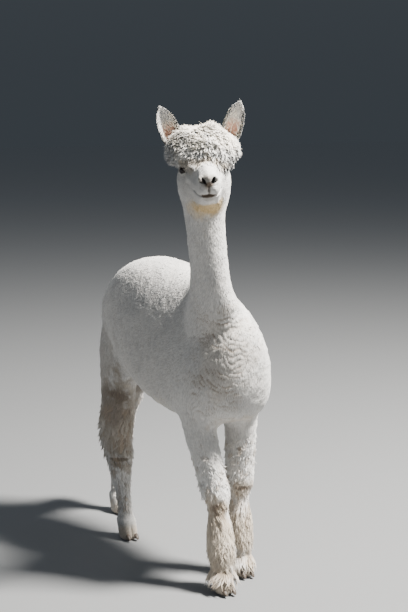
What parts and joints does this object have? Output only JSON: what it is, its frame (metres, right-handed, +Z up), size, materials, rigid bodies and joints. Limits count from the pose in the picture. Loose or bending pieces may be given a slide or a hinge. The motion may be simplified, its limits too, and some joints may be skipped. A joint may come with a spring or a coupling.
{
  "type": "alpaca",
  "caption": "Life-size standing huacaya alpaca, a still model with a shorn white fleece, a woolly topknot and the head turned to its right.",
  "frame": {"origin": "on the floor, under the middle of the animal's bounding box", "axes": "+Z up; the animal faces -Y, so its left side is towards +X"},
  "size_m": [0.4018, 1.0806, 1.4606],
  "materials": {
    "fleece": "dense crimped white fleece, shorn to about a centimetre, matt, with dark creases and grey dust",
    "leg_wool": "longer matted leg wool, white to beige with brown soiling, matt",
    "topknot": "long soft cream wool in loose locks, matt",
    "face": "short smooth white hair, grey-black skin at the nostrils and lips",
    "ear": "short white hair outside, pinkish brown skin with long pale hair at the rim inside",
    "eye": "very dark brown wet eye, glossy",
    "foot": "short dusty hair over a grey-brown leathery pad, matt",
    "nail": "dark horn toenail, satin"
  },
  "bodies": {
    "root": {"trunk": "fleece", "neck": "fleece", "head": "face", "topknot": "topknot", "eye_left": "eye", "ear_left": "ear", "eye_right": "eye", "ear_right": "ear", "tail": "fleece", "leg_fore_left_upper": "fleece", "leg_fore_left_lower": "leg_wool", "leg_fore_right_upper": "fleece", "leg_fore_right_lower": "leg_wool", "leg_hind_left_upper": "fleece", "leg_hind_left_lower": "leg_wool", "leg_hind_right_upper": "fleece", "leg_hind_right_lower": "leg_wool", "foot_fore_left": "foot", "nail_fore_left_left": "nail", "nail_fore_left_right": "nail", "foot_fore_right": "foot", "nail_fore_right_left": "nail", "nail_fore_right_right": "nail", "foot_hind_left": "foot", "nail_hind_left_left": "nail", "nail_hind_left_right": "nail", "foot_hind_right": "foot", "nail_hind_right_left": "nail", "nail_hind_right_right": "nail"}
  },
  "joints": []
}
